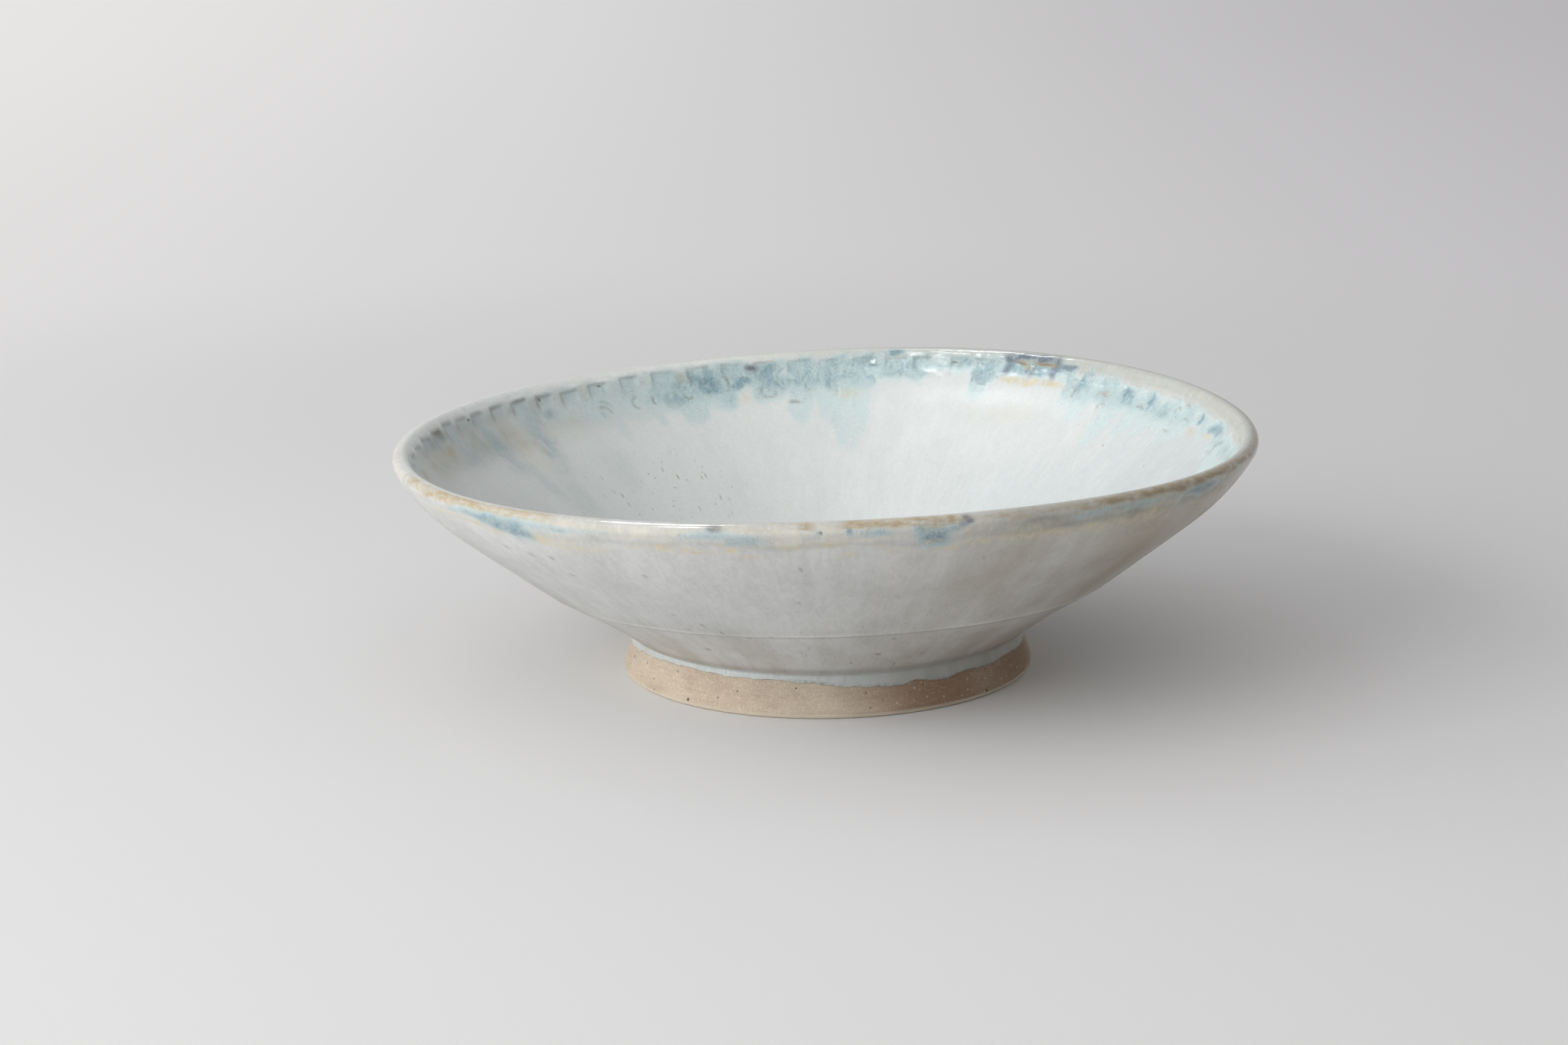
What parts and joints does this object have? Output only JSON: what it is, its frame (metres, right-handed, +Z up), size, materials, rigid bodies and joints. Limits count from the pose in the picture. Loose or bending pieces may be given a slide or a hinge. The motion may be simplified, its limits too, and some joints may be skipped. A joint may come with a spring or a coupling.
{
  "type": "footed serving bowl",
  "caption": "Wide hand-thrown stoneware bowl on a bare clay foot, glazed, with square marks pressed in below a rounded lip.",
  "frame": {"origin": "middle of the foot ring's contact face, on the surface the bowl stands on", "axes": "+Z up along the bowl's turning axis; +X towards the side of the rim that stands slightly higher; +Y away from the side the picture shows"},
  "size_m": [0.31, 0.31, 0.0896],
  "materials": {
    "bowl_clay": "bare buff stoneware, dry and slightly gritty",
    "foot_clay": "bare buff stoneware with pale grog and small pits",
    "inner_glaze": "satin grey-white glaze",
    "rim_glaze": "glossy blue and cream glaze breaking to brown",
    "outer_glaze": "satin grey-white glaze with pinholes"
  },
  "bodies": {
    "root": {"bowl_body": "bowl_clay", "foot_ring": "foot_clay", "inner_glaze": "inner_glaze", "rim_glaze": "rim_glaze", "outer_glaze": "outer_glaze"}
  },
  "joints": []
}
